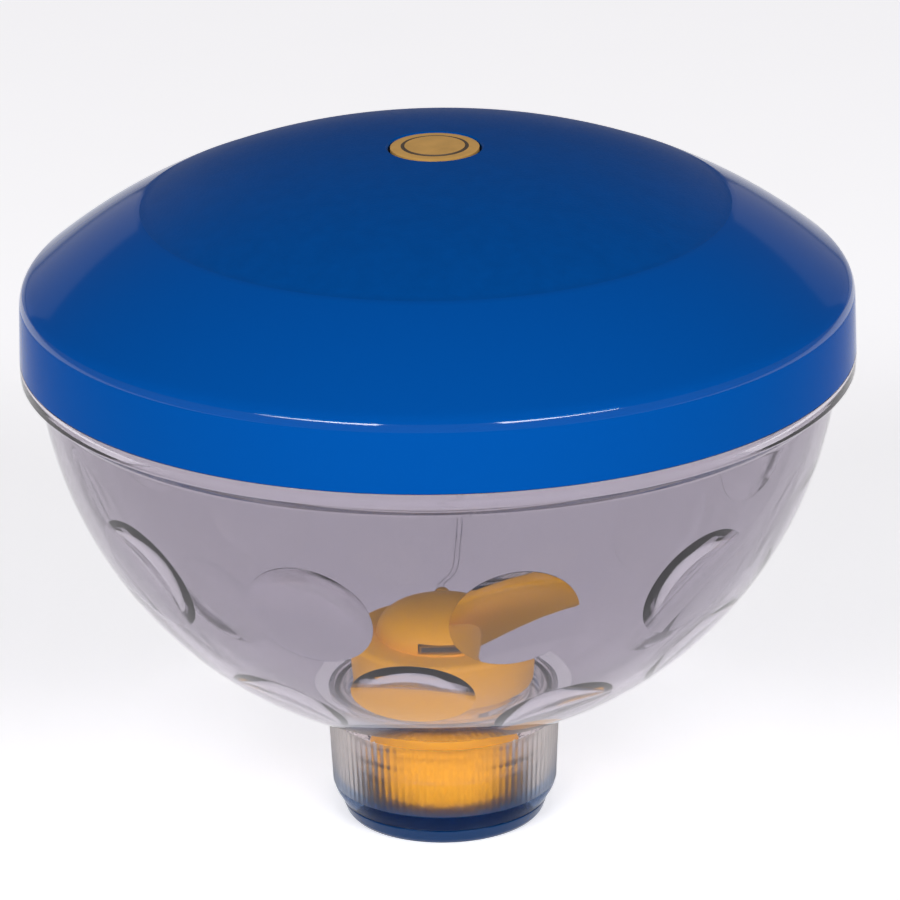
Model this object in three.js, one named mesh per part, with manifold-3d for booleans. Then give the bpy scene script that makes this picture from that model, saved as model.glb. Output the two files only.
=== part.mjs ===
import * as THREE from 'three';
import { mergeVertices } from 'three/addons/utils/BufferGeometryUtils.js';
import Module from 'manifold-3d';

// Floating pool light, in millimetres, +Z up. The origin is the centre of the flat foot of the battery cup.
// Azimuths are in degrees, 0 on the -Y side and growing towards +X.

const wasm = await Module();
wasm.setup();

// Driving dimensions.
const GAP = 0.3;                 // between pieces that touch
const ROUND = 40;                // facets of the large round pieces
const SMALL = 12;                // facets of small round pieces
const WALL = 2.6;                // moulded wall of the bowl
const COVER_WALL = 2.4;
const COVER_R = 100.2;           // skirt of the blue cover
const COVER_TOP = 170.5;         // apex of the dome
const SHOULDER_R = 99.2;
const SKIRT_TOP = 136.0;
const SKIRT_BOTTOM = 119.9;
const BUTTON_R = 10.6;
const BUTTON_HOLE_R = 11.2;
const BUTTON_TRAVEL = 1.5;

const BOWL_POINTS = [            // outside of the bowl, radius and height, from the floor to the rim
  [33.1, 30.4], [47.9, 38.2], [60.7, 47.9], [74.2, 60.9], [83.0, 73.8], [88.7, 86.9], [92.9, 99.9], [95.7, 112.7],
];
const FLANGE_BOTTOM = 116.5;
const UPSTAND_R = 97.2;          // wall of the bowl inside the cover's skirt
const UPSTAND_TOP = 129.5;
const FLOOR_Z = 30.4;            // underside of the bowl's floor
const FLOOR_T = 2.5;
const FLOOR_HOLE_R = 18.0;
const SPIGOT_R = 24.6;
const SPIGOT_BORE_R = 22.0;
const SPIGOT_BOTTOM = 15.7;
const THREAD_H = 0.6;

const LENS_COUNT = 11;           // in each row
const LENS_DEPTH = 2.6;          // how far a lens stands into the bowl
const UPPER_LENS = { z: 81.2, first: 11.4, radius: 15.2 };
const LOWER_LENS = { z: [56.2, 46], first: -6, radius: 14.4 };      // alternately higher and lower

const CUP_R = 28.5;
const CUP_BOTTOM = 4.0;
const CUP_TOP = 30.1;
const CUP_BORE_R = 25.7;
const CUP_SEAT_R = 27.2;         // counterbore for the o-ring
const CUP_SEAT_Z = 28.2;
const BASE_R = 25.3;             // blue foot that closes the cup
const BASE_WALL_R = 24.3;        // its wall inside the cup
const BASE_WALL = 1.7;
const BASE_TOP = 7.8;
const BASE_FLOOR = 1.8;
const RIB_COUNT = 96;
const RIB_H = 0.35;
const RIB_BOTTOM = 8.4;
const RIB_TOP = 26.5;

const DRUM_R = 23.2;             // seat of the battery barrel, which widens upwards from DRUM_BASE_R
const DRUM_BASE_R = 22.2;
const DRUM_BOTTOM = FLOOR_Z + FLOOR_T + GAP;
const DRUM_TOP = 45.5;
const BARREL_R = 17.5;           // in the neck
const BARREL_UPPER_R = 16.1;
const BARREL_BORE_R = 14.9;
const BARREL_BOTTOM = 5.0;
const BARREL_TOP = 53.1;
const BARREL_TOP_T = 1.0;
const BARREL_SCREW_R = 19.9;     // pitch circle of the barrel's screws
const BARREL_SCREW_AZIMUTHS = [60, 180, 300];
const BARREL_HOLE_R = 1.35;

const CELL_R = 5.2;
const CELL_LENGTH = 44.5;
const CELL_NUB_R = 1.9;
const CELL_NUB_H = 1.0;
const CELL_OFFSET = 7.75;        // of a cell's axis from the barrel's
const CONTACT_T = 0.4;
const SPRING_WIRE_R = 0.2;

const BOARD_R = 33.7;
const BOARD_Z = 144.3;
const BOARD_T = 1.6;
const BOARD_SCREW_R = 27;
const BOARD_SCREW_AZIMUTHS = [30, 150, 270];
const BOARD_HOLE_R = 1.6;
const BOSS_R = 3.2;
const LED_R = 2.5;
const LED_RING_R = 17;
const WIRE_R = 0.45;

const COLOURS = {
  blue: [0x0050a2, 0.22, 0], clear: [0xd9d2dc, 0.05, 0], yellow: [0xe8a52e, 0.35, 0], gold: [0xb08a62, 0.4, 0.2],
  rubber: [0x22252b, 0.8, 0], silicone: [0xcfcfcf, 0.6, 0], navy: [0x18233f, 0.45, 0.1], steel: [0xb8bcc2, 0.3, 1],
  board: [0xe6e8e4, 0.5, 0], black: [0x17181a, 0.5, 0], led: [0xf2f4f6, 0.15, 0], cell: [0x3a4048, 0.35, 0.4],
  insulation: [0xd8d4d6, 0.2, 0],
};

// Shape helpers.
function cleaned(geometry) {
  const bare = geometry.clone();
  for (const name of Object.keys(bare.attributes)) if (name !== 'position') bare.deleteAttribute(name);
  const merged = mergeVertices(bare, 1e-4);
  const kept = [];
  const index = merged.index.array;
  for (let i = 0; i < index.length; i += 3) {
    const [a, b, c] = [index[i], index[i + 1], index[i + 2]];
    if (a !== b && b !== c && c !== a) kept.push(a, b, c);
  }
  merged.setIndex(kept);
  return volume(merged) < 0 ? turnedInsideOut(merged) : merged;
}

function volume(geometry) {
  const [p, index] = [geometry.attributes.position, geometry.index.array];
  const corner = [new THREE.Vector3(), new THREE.Vector3(), new THREE.Vector3()];
  let sum = 0;
  for (let i = 0; i < index.length; i += 3) {
    corner.forEach((v, k) => v.fromBufferAttribute(p, index[i + k]));
    sum += corner[0].dot(corner[1].cross(corner[2])) / 6;
  }
  return sum;
}

function turnedInsideOut(geometry) {
  const index = Array.from(geometry.index.array);
  for (let i = 0; i < index.length; i += 3) [index[i + 1], index[i + 2]] = [index[i + 2], index[i + 1]];
  geometry.setIndex(index);
  return geometry;
}

function solid(geometry) {
  const g = cleaned(geometry);
  const mesh = { numProp: 3, vertProperties: new Float32Array(g.attributes.position.array),
    triVerts: new Uint32Array(g.index.array) };
  return new wasm.Manifold(new wasm.Mesh(mesh));
}

function fromSolid(body) {
  const mesh = body.getMesh();
  const geometry = new THREE.BufferGeometry();
  const points = [];
  for (let i = 0; i < mesh.vertProperties.length; i += mesh.numProp) {
    points.push(...mesh.vertProperties.slice(i, i + 3));
  }
  geometry.setAttribute('position', new THREE.Float32BufferAttribute(points, 3));
  geometry.setIndex(Array.from(mesh.triVerts));
  return geometry;
}

function joined(base, added = [], cut = []) {
  let body = solid(base);
  for (const g of added) body = body.add(solid(g));
  for (const g of cut) body = body.subtract(solid(g));
  return fromSolid(body);
}

function radians(degrees) {
  return degrees * Math.PI / 180;
}

function spot(azimuth, r, z) {
  return new THREE.Vector3(r * Math.sin(radians(azimuth)), -r * Math.cos(radians(azimuth)), z);
}

// Turns a list of [radius, height] about Z. A profile off the axis is closed on itself.
function revolved(profile, facets = ROUND) {
  const points = profile.map(([r, z]) => new THREE.Vector2(r, z));
  if (profile[0][0] > 0) points.push(points[0].clone());
  return new THREE.LatheGeometry(points, facets).rotateX(Math.PI / 2);
}

function disc(r, bottom, top, facets = ROUND) {
  return revolved([[0, bottom], [r, bottom], [r, top], [0, top]], facets);
}

function ring(inner, outer, bottom, top, facets = ROUND) {
  return revolved([[inner, bottom], [outer, bottom], [outer, top], [inner, top]], facets);
}

function pins(azimuths, pitchR, r, bottom, top) {
  return azimuths.map((azimuth) => placed(disc(r, bottom, top, SMALL), spot(azimuth, pitchR, 0)));
}

function placed(geometry, point) {
  return geometry.translate(point.x, point.y, point.z);
}

// Points of a profile moved sideways by a distance, towards the axis side for a positive one.
function offsetProfile(profile, distance) {
  return profile.map(([r, z], i) => {
    const a = profile[Math.max(i - 1, 0)];
    const b = profile[Math.min(i + 1, profile.length - 1)];
    const along = new THREE.Vector2(b[0] - a[0], b[1] - a[1]).normalize();
    return [r - along.y * distance, z + along.x * distance];
  });
}

// A round rod along a curve.
function rod(curve, r, sides, steps) {
  const section = new THREE.Shape();
  for (let i = 0; i < sides; i += 1) {
    const angle = 2 * Math.PI * i / sides;
    section[i ? 'lineTo' : 'moveTo'](r * Math.cos(angle), r * Math.sin(angle));
  }
  section.closePath();
  return new THREE.ExtrudeGeometry(section, { steps, bevelEnabled: false, extrudePath: curve });
}

// The dome's outside height at a radius.
function domeZ(r) {
  const share = r / 100;
  return COVER_TOP - 24.37 * share ** 2 - 9.71 * share ** 4;
}

function bowlRadius(z) {
  const above = BOWL_POINTS.findIndex((point) => point[1] >= z);
  const [[r0, z0], [r1, z1]] = [BOWL_POINTS[above - 1], BOWL_POINTS[above]];
  return { r: r0 + (r1 - r0) * (z - z0) / (z1 - z0), slope: Math.atan2(r1 - r0, z1 - z0) };
}

// Pieces.
const BOSS_BORE_R = 13.0;        // guide of the button's flange
const GUIDE_R = 15.8;
const GUIDE_BOTTOM = 161.2;
const LIP_BOTTOM = 167.1;
const UNDER_DOME = 2.6;
const LEDGE_Z = 132.1;           // lands on the gasket

function topCover() {
  const radii = [BUTTON_HOLE_R, 34, 54, 70.5, 86, SHOULDER_R - 1.2];
  const outside = radii.map((r) => [r, domeZ(r)]);
  const skirt = [[SHOULDER_R, SKIRT_TOP + 0.9], [SHOULDER_R + 0.5, SKIRT_TOP], [COVER_R, SKIRT_BOTTOM + 1.2],
    [COVER_R - 0.3, SKIRT_BOTTOM], [COVER_R - COVER_WALL, SKIRT_BOTTOM], [COVER_R - COVER_WALL, LEDGE_Z],
    [UPSTAND_R - 3.2, LEDGE_Z]];
  const inside = [UPSTAND_R - 3.2, 86, 70.5, 54, 34, GUIDE_R].map((r) => [r, domeZ(r) - UNDER_DOME]);
  const guide = [[GUIDE_R, GUIDE_BOTTOM], [BOSS_BORE_R, GUIDE_BOTTOM], [BOSS_BORE_R, LIP_BOTTOM],
    [BUTTON_HOLE_R, LIP_BOTTOM]];
  const bossTop = domeZ(BOARD_SCREW_R) - 1.5;
  const bossBottom = BOARD_Z + BOARD_T + GAP;
  const bosses = pins(BOARD_SCREW_AZIMUTHS, BOARD_SCREW_R, BOSS_R, bossBottom, bossTop);
  const holes = pins(BOARD_SCREW_AZIMUTHS, BOARD_SCREW_R, BOARD_HOLE_R, bossBottom - 1, bossBottom + 8);
  return joined(revolved([...outside, ...skirt, ...inside, ...guide]), bosses, holes);
}

function coverGasket() {
  return ring(UPSTAND_R - 2.5, UPSTAND_R, UPSTAND_TOP + GAP, LEDGE_Z - GAP);
}

function lens(z, azimuth, radius) {
  const { r, slope } = bowlRadius(z);
  const cap = revolved([[0, -LENS_DEPTH], [radius / 2, 0.2 - LENS_DEPTH * 0.75], [radius, 0], [0, 0.8]], 12);
  cap.rotateX(Math.PI / 2 + slope);
  const foot = r - (WALL - 0.2) * Math.cos(slope);
  cap.translate(0, -foot, z + (WALL - 0.2) * Math.sin(slope));
  return cap.rotateZ(radians(azimuth));
}

function clearBowl() {
  const inside = offsetProfile(BOWL_POINTS, WALL).reverse();
  inside[inside.length - 1] = [31, FLOOR_Z + FLOOR_T];
  const rim = [BOWL_POINTS[BOWL_POINTS.length - 1], [COVER_R, FLANGE_BOTTOM], [COVER_R, SKIRT_BOTTOM - GAP],
    [UPSTAND_R, SKIRT_BOTTOM - GAP], [UPSTAND_R, UPSTAND_TOP], [UPSTAND_R - 2.5, UPSTAND_TOP]];
  const bore = [[FLOOR_HOLE_R, FLOOR_Z + FLOOR_T], [FLOOR_HOLE_R, FLOOR_Z], [SPIGOT_BORE_R, FLOOR_Z],
    [SPIGOT_BORE_R, SPIGOT_BOTTOM], [SPIGOT_R, SPIGOT_BOTTOM]];
  const threads = [17.8, 22.2].flatMap((z) => [[SPIGOT_R, z], [SPIGOT_R + THREAD_H, z + 0.6],
    [SPIGOT_R + THREAD_H, z + 1.2], [SPIGOT_R, z + 1.8]]);
  const profile = [...BOWL_POINTS.slice(0, -1), ...rim, ...inside, ...bore, ...threads, [SPIGOT_R, FLOOR_Z]];
  const lenses = [];
  const half = Math.floor(LENS_COUNT / 2);
  for (let i = -half; i <= half; i += 1) {
    const turn = 360 * i / LENS_COUNT;
    lenses.push(lens(UPPER_LENS.z, UPPER_LENS.first + turn, UPPER_LENS.radius));
    lenses.push(lens(LOWER_LENS.z[Math.abs(i % 2)], LOWER_LENS.first + turn, LOWER_LENS.radius));
  }
  const holes = pins(BARREL_SCREW_AZIMUTHS, BARREL_SCREW_R, BARREL_HOLE_R, FLOOR_Z - 1, FLOOR_Z + FLOOR_T + 1);
  return joined(revolved(profile), lenses, holes);
}

const SLOT = { width: 12, height: 2.4, z: DRUM_TOP + 0.5 };
const GROMMET = { y: 16.1, z: 48.2, r: 1.3 };

// The barrel's domed top, as a superellipse from the drum's top face up to the apex.
function barrelDome(r, height, points) {
  return Array.from({ length: points + 1 }, (_, i) => {
    const share = Math.sin(Math.PI / 2 * (1 - i / points));
    return [r * share, DRUM_TOP + height * (1 - share ** 2.6) ** (1 / 2.6)];
  });
}

function batteryBarrel() {
  const outer = barrelDome(BARREL_UPPER_R, BARREL_TOP - DRUM_TOP, 6);
  const inner = barrelDome(BARREL_BORE_R, BARREL_TOP - BARREL_TOP_T - DRUM_TOP, 6).reverse();
  const shell = revolved([[BARREL_R, BARREL_BOTTOM], [BARREL_R, DRUM_BOTTOM], [DRUM_BASE_R, DRUM_BOTTOM],
    [DRUM_R, DRUM_TOP - 0.8], [DRUM_R - 0.8, DRUM_TOP], ...outer.slice(0, -1), [0, BARREL_TOP],
    [0, BARREL_TOP - BARREL_TOP_T], ...inner.slice(1), [BARREL_BORE_R, BARREL_BOTTOM],
    [BARREL_R, BARREL_BOTTOM]]);
  const slot = new THREE.BoxGeometry(SLOT.width, 6, SLOT.height)
    .translate(0, -BARREL_UPPER_R, SLOT.z + SLOT.height / 2);
  const wireHole = new THREE.CylinderGeometry(GROMMET.r, GROMMET.r, 8, SMALL).translate(0, GROMMET.y, GROMMET.z);
  const holes = pins(BARREL_SCREW_AZIMUTHS, BARREL_SCREW_R, BARREL_HOLE_R, DRUM_BOTTOM - 1, DRUM_BOTTOM + 7);
  return joined(shell, [], [slot, wireHole, ...holes]);
}

// Lets the battery bay breathe without letting water in.
function ventMembrane() {
  return new THREE.BoxGeometry(SLOT.width - 2 * GAP, 1, SLOT.height - 2 * GAP)
    .translate(0, -(BARREL_BORE_R + BARREL_UPPER_R) / 2 + 0.5, SLOT.z + SLOT.height / 2);
}

// A screw pointing up, with its head's underside at z = 0.
function screw(headR, headH, shankR, length) {
  return revolved([[0, -headH], [headR * 0.8, -headH], [headR, -headH * 0.6], [headR, 0], [shankR, 0],
    [shankR, length - shankR], [0, length]], 8);
}

const CAP_BOTTOM = BASE_FLOOR + GAP;
const CAP_FLOOR = CAP_BOTTOM + 0.7;
const LOWER_CONTACT = { z: CAP_FLOOR + GAP, r: 14.4 };
const UPPER_CONTACT = { z: 50.0, r: 11.0 };
const BAY_BOTTOM = LOWER_CONTACT.z + CONTACT_T + GAP;
const BAY_TOP = UPPER_CONTACT.z - GAP;

function barrelEndCap() {
  return revolved([[0, CAP_BOTTOM], [BARREL_R - 1, CAP_BOTTOM], [BARREL_R, CAP_BOTTOM + 1],
    [BARREL_R, BARREL_BOTTOM - GAP], [BARREL_BORE_R, BARREL_BOTTOM - GAP], [BARREL_BORE_R, CAP_FLOOR],
    [0, CAP_FLOOR]], 24);
}

function cell(nubUp) {
  const body = CELL_LENGTH - CELL_NUB_H;
  const shape = revolved([[0, 0], [CELL_R - 0.5, 0], [CELL_R, 0.5], [CELL_R, body - 0.6], [CELL_R - 0.6, body],
    [CELL_NUB_R, body], [CELL_NUB_R, CELL_LENGTH], [0, CELL_LENGTH]], SMALL);
  return nubUp ? shape.translate(0, 0, BAY_TOP - CELL_LENGTH)
    : shape.rotateX(Math.PI).translate(0, 0, BAY_BOTTOM + CELL_LENGTH);
}

class SpringCurve extends THREE.Curve {
  constructor(low, high) {
    super();
    Object.assign(this, { low, high });
  }

  getPoint(t, target = new THREE.Vector3()) {
    const angle = 2 * Math.PI * 2 * t;
    const r = 4.0 - 1.5 * t;
    return target.set(r * Math.cos(angle), r * Math.sin(angle), this.low + (this.high - this.low) * t);
  }
}

function contactSpring(low, high) {
  return rod(new SpringCurve(low + SPRING_WIRE_R, high - SPRING_WIRE_R), SPRING_WIRE_R, 4, 16);
}

function batteryCup() {
  const shell = revolved([[25.4, CUP_BOTTOM], [26.2, 5.4], [27.0, 6.9], [27.4, 8.4], [CUP_R - 0.15, 26.9],
    [CUP_R, 27.6], [CUP_R, CUP_TOP], [CUP_SEAT_R, CUP_TOP], [CUP_SEAT_R, CUP_SEAT_Z], [CUP_BORE_R, CUP_SEAT_Z],
    [BASE_WALL_R + GAP, CUP_BOTTOM]]);
  const outline = new THREE.Shape();
  for (let i = 0; i < RIB_COUNT; i += 1) {
    const angle = 2 * Math.PI * i / RIB_COUNT;
    const half = Math.PI / RIB_COUNT;
    outline[i ? 'lineTo' : 'moveTo']((CUP_R + 0.1) * Math.cos(angle), (CUP_R + 0.1) * Math.sin(angle));
    outline.lineTo((CUP_R - RIB_H) * Math.cos(angle + half), (CUP_R - RIB_H) * Math.sin(angle + half));
  }
  outline.closePath();
  const bore = new THREE.Path();
  bore.absarc(0, 0, CUP_R - 1.6, 0, 2 * Math.PI, true);
  outline.holes.push(bore);
  const options = { depth: RIB_TOP - RIB_BOTTOM, bevelEnabled: false, curveSegments: 24 };
  const ribs = new THREE.ExtrudeGeometry(outline, options).translate(0, 0, RIB_BOTTOM);
  return joined(shell, [ribs]);
}

function cupBase() {
  return revolved([[0, 0], [23.6, 0], [24.3, 0.9], [24.8, 2.4], [BASE_R, CUP_BOTTOM - GAP],
    [BASE_WALL_R, CUP_BOTTOM - GAP], [BASE_WALL_R, BASE_TOP], [BASE_WALL_R - BASE_WALL, BASE_TOP],
    [BASE_WALL_R - BASE_WALL, BASE_FLOOR], [0, BASE_FLOOR]]);
}

const BALLAST = { inner: 18.1, outer: BASE_WALL_R - BASE_WALL - GAP, bottom: BASE_FLOOR + GAP, top: 7.4 };

function ballastRing() {
  const { inner, outer, bottom, top } = BALLAST;
  return ring(inner, outer, bottom, top);
}

function cupORing() {
  const centre = (SPIGOT_R + THREAD_H + CUP_SEAT_R) / 2;
  const section = (CUP_SEAT_R - SPIGOT_R - THREAD_H) / 2 - 0.2;
  const profile = [];
  for (let i = 0; i < 6; i += 1) {
    const angle = 2 * Math.PI * i / 6;
    profile.push([centre + section * Math.cos(angle), FLOOR_Z - GAP - section * (1 - Math.sin(angle))]);
  }
  return revolved(profile);
}

const BUTTON_FLANGE = { r: 12.5, bottom: 165.4, top: LIP_BOTTOM - GAP };
const STEM = { r: 2.4, bottom: 152.0 };

function button() {
  const { r, bottom, top } = BUTTON_FLANGE;
  return revolved([[0, STEM.bottom], [STEM.r, STEM.bottom], [STEM.r, bottom], [r, bottom], [r, top],
    [BUTTON_R, top], [BUTTON_R, domeZ(BUTTON_R) - 0.4], [BUTTON_R - 0.5, domeZ(BUTTON_R) - 0.1],
    [0, COVER_TOP - 0.1]], 24);
}

function buttonBoot() {
  const top = BUTTON_FLANGE.bottom - GAP;
  return revolved([[3.4, top], [3.4, top - 0.8], [9.8, GUIDE_BOTTOM + 0.9], [9.8, GUIDE_BOTTOM],
    [12.5, GUIDE_BOTTOM], [12.5, GUIDE_BOTTOM + 1.0], [10.6, GUIDE_BOTTOM + 1.0], [4.6, top]], 24);
}

function bootRetainer() {
  return ring(6.0, GUIDE_R, GUIDE_BOTTOM - GAP - 1.4, GUIDE_BOTTOM - GAP, 24);
}

function ledBoard() {
  const holes = pins(BOARD_SCREW_AZIMUTHS, BOARD_SCREW_R, BOARD_HOLE_R, BOARD_Z - 1, BOARD_Z + BOARD_T + 1);
  return joined(disc(BOARD_R, BOARD_Z, BOARD_Z + BOARD_T), [], holes);
}

function led(azimuth, r) {
  const top = BOARD_Z - GAP;
  const shape = revolved([[0, top - 7.4], [1.5, top - 6.9], [LED_R - 0.1, top - 5.2], [LED_R, top - 1],
    [LED_R + 0.4, top - 1], [LED_R + 0.4, top], [0, top]], 10);
  return placed(shape, spot(azimuth, r, 0));
}

const SWITCH = { side: 6, bottom: BOARD_Z + BOARD_T + GAP, height: 3.4, plunger: 1.75,
  top: STEM.bottom - GAP - BUTTON_TRAVEL };

function tactSwitch() {
  const body = new THREE.BoxGeometry(SWITCH.side, SWITCH.side, SWITCH.height)
    .translate(0, 0, SWITCH.bottom + SWITCH.height / 2);
  return joined(body, [disc(SWITCH.plunger, SWITCH.bottom + 1, SWITCH.top, SMALL)]);
}

const CONNECTOR = { x: 0, y: 24, width: 8, depth: 5, height: 5 };

function wireConnector() {
  const { x, y, width, depth, height } = CONNECTOR;
  return new THREE.BoxGeometry(width, depth, height).translate(x, y, BOARD_Z - GAP - height / 2);
}

function driverChip() {
  return new THREE.BoxGeometry(5, 4, 1.5).translate(-16, 5, BOARD_Z + BOARD_T + GAP + 0.75);
}

// A plug in the barrel's side, just above the drum, with its axis along Y.
function grommet() {
  const { y, z, r } = GROMMET;
  const face = y - 1.2;
  return revolved([[0, face], [r - GAP, face], [r - GAP, y + GAP], [r + 0.8, y + GAP], [r + 0.8, y + 1.6],
    [0, y + 1.6]], SMALL).rotateX(-Math.PI / 2).translate(0, 0, z);
}

// Each wire runs back from the grommet, up the bowl's rear wall between the lenses and in under the board.
const WIRE_AZIMUTH = 175.3;
const WIRE_ROUTE = [              // distance from the axis, height
  [18.1, 48.2], [24, 48.4], [38, 46.5], [52, 48], [63, 55], [71, 64], [77, 74], [82, 87], [86, 100], [86, 113],
  [78, 125], [60, 132], [40, 133], [27, 134.5], [24.2, 138.6],
];

function wire(side) {
  const across = spot(WIRE_AZIMUTH + 90, side, 0);
  const route = WIRE_ROUTE.map(([r, z], i) => spot(i < 2 ? 180 : WIRE_AZIMUTH, r, z).add(across));
  return rod(new THREE.CatmullRomCurve3(route), WIRE_R, 8, 44);
}

// Assembly.
const group = new THREE.Group();

function add(name, geometry, colour) {
  const [tone, roughness, metalness] = COLOURS[colour];
  const material = new THREE.MeshStandardMaterial({ color: tone, roughness, metalness });
  if (colour === 'clear') Object.assign(material, { transparent: true, opacity: 0.35 });
  const mesh = new THREE.Mesh(cleaned(geometry), material);
  mesh.name = name;
  mesh.geometry.computeVertexNormals();
  group.add(mesh);
}

add('top_cover', topCover(), 'blue');
add('cover_gasket', coverGasket(), 'rubber');
add('clear_bowl', clearBowl(), 'clear');
add('battery_barrel', batteryBarrel(), 'yellow');
add('vent_membrane', ventMembrane(), 'rubber');
add('barrel_end_cap', barrelEndCap(), 'navy');
BARREL_SCREW_AZIMUTHS.forEach((azimuth, i) => {
  const place = spot(azimuth, BARREL_SCREW_R, FLOOR_Z - GAP);
  add(`barrel_screw_${i + 1}`, placed(screw(1.45, 1.3, 1.0, 8), place), 'steel');
});
[45, 135, 225, 315].forEach((azimuth, i) => {
  const nubUp = i % 2 === 0;
  const place = spot(azimuth, CELL_OFFSET, 0);
  const ends = nubUp ? [BAY_BOTTOM, BAY_TOP - CELL_LENGTH - GAP] : [BAY_BOTTOM + CELL_LENGTH + GAP, BAY_TOP];
  add(`aaa_cell_${i + 1}`, placed(cell(nubUp), place), 'cell');
  add(`contact_spring_${i + 1}`, placed(contactSpring(...ends), place), 'steel');
});
for (const [name, { z, r }] of [['upper_contact_board', UPPER_CONTACT], ['lower_contact_board', LOWER_CONTACT]]) {
  add(name, disc(r, z, z + CONTACT_T, 24), 'board');
}
add('wire_grommet', grommet(), 'rubber');
add('wire_positive', wire(0.6), 'insulation');
add('wire_negative', wire(-0.6), 'insulation');
add('led_board', ledBoard(), 'board');
BOARD_SCREW_AZIMUTHS.forEach((azimuth, i) => {
  const place = spot(azimuth, BOARD_SCREW_R, BOARD_Z - GAP);
  add(`board_screw_${i + 1}`, placed(screw(2.4, 1.5, 1.2, 8), place), 'steel');
});
[[0, 0], [45, LED_RING_R], [135, LED_RING_R], [225, LED_RING_R], [315, LED_RING_R]].forEach(([a, r], i) => {
  add(`led_${i + 1}`, led(a, r), 'led');
});
add('tact_switch', tactSwitch(), 'black');
add('driver_chip', driverChip(), 'black');
add('wire_connector', wireConnector(), 'board');
add('button', button(), 'gold');
add('button_boot', buttonBoot(), 'silicone');
add('boot_retainer', bootRetainer(), 'blue');
add('battery_cup', batteryCup(), 'clear');
add('cup_base', cupBase(), 'blue');
add('ballast_ring', ballastRing(), 'navy');
add('cup_o_ring', cupORing(), 'rubber');

export default group;
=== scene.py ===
import math

import bmesh
import bpy
from mathutils import Euler, Matrix, Vector


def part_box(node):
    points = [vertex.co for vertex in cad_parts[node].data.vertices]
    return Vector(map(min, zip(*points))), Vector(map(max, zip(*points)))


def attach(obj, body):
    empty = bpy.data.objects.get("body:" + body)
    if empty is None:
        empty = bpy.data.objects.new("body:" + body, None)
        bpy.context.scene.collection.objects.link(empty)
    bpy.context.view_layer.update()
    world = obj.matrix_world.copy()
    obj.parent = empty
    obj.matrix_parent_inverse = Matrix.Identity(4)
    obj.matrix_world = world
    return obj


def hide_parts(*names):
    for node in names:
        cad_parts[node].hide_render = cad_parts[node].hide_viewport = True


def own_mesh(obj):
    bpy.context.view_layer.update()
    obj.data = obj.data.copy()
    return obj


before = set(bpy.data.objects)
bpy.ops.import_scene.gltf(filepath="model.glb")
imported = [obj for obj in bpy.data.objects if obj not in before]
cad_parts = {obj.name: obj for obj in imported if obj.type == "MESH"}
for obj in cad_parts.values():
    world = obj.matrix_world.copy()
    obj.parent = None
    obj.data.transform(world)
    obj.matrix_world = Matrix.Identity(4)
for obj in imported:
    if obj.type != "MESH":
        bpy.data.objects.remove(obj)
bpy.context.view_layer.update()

# Lengths are in millimetres until to_object() makes them metres. Azimuth 0 is the front, -Y, and grows
# towards +X.
MM = 0.001
SMOOTHEST = 256  # facets of the cover and the bowl
FINE = 192       # facets of a large round piece
SMALL = 48       # facets of a small round piece


def low_high(node):
    """A CAD node's box, in millimetres."""
    low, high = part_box(node)
    return low / MM, high / MM


COVER_LOW, COVER_HIGH = low_high("top_cover")
CUP_LOW = low_high("battery_cup")[0]
BARREL_LOW, BARREL_HIGH = low_high("battery_barrel")
BUTTON_LOW, BUTTON_HIGH = low_high("button")
BOARD_LOW, BOARD_HIGH = low_high("led_board")

# ---------------------------------------------------------------- camera, stage and light

TARGET_Z = 119.9             # height that the camera's orbit is centred on
CAMERA_DISTANCE = 1600.0
CAMERA_ELEVATION = 19.71
AIM_DOWN = 0.90              # extra tilt that puts the light above the middle of the frame
AIM_RIGHT = 0.095
CAMERA_ROLL = -0.89
LENS_MM = 266.9
SENSOR_MM = 36.0
LAMP_DISTANCE = 1.8          # metres from LAMP_AIM, a point inside the light
LAMP_AIM = Vector((0, 0, 0.11))
FLOOR_SIZE = 8.0             # metres
FLOOR_GLOW = 0.55
ROOM_COLOUR, ROOM_STRENGTH = (0.80, 0.78, 0.84, 1), 0.22
# azimuth, elevation, size in metres, power in watts, colour
LAMPS = {
    "softbox_left": (-33.5, 31, (0.95, 0.24), 14, (1, 1, 1)),
    "softbox_right": (33.5, 31, (0.95, 0.24), 14, (1, 1, 1)),
    "card_left": (-154, 10, (0.80, 0.60), 0.75, (0.96, 0.92, 1.0)),
    "card_right": (154, 10, (0.80, 0.60), 0.62, (0.96, 0.92, 1.0)),
}


def make_camera():
    data = bpy.data.cameras.new("camera")
    data.lens, data.sensor_width = LENS_MM, SENSOR_MM
    data.clip_start, data.clip_end = 0.05, 20.0
    camera = bpy.data.objects.new("camera", data)
    bpy.context.scene.collection.objects.link(camera)
    up = math.radians(CAMERA_ELEVATION)
    camera.location = Vector((0, -math.cos(up), math.sin(up))) * CAMERA_DISTANCE * MM
    camera.location.z += TARGET_Z * MM
    tilt = math.radians(90 - CAMERA_ELEVATION - AIM_DOWN)
    turn = Euler((tilt, 0, math.radians(-AIM_RIGHT)), "XYZ").to_matrix()
    roll = Matrix.Rotation(math.radians(CAMERA_ROLL), 3, "Z")
    camera.rotation_euler = (turn @ roll).to_euler()
    bpy.context.scene.camera = camera


def make_lamp(name, azimuth, elevation, size, power, colour):
    data = bpy.data.lights.new(name, "AREA")
    data.shape, data.size, data.size_y = "RECTANGLE", size[0], size[1]
    data.energy, data.color = power, colour
    light = bpy.data.objects.new(name, data)
    bpy.context.scene.collection.objects.link(light)
    a, e = math.radians(azimuth), math.radians(elevation)
    direction = Vector((math.sin(a) * math.cos(e), -math.cos(a) * math.cos(e), math.sin(e)))
    light.location = direction * LAMP_DISTANCE + LAMP_AIM
    light.rotation_euler = direction.to_track_quat("Z", "Y").to_euler()


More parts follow.
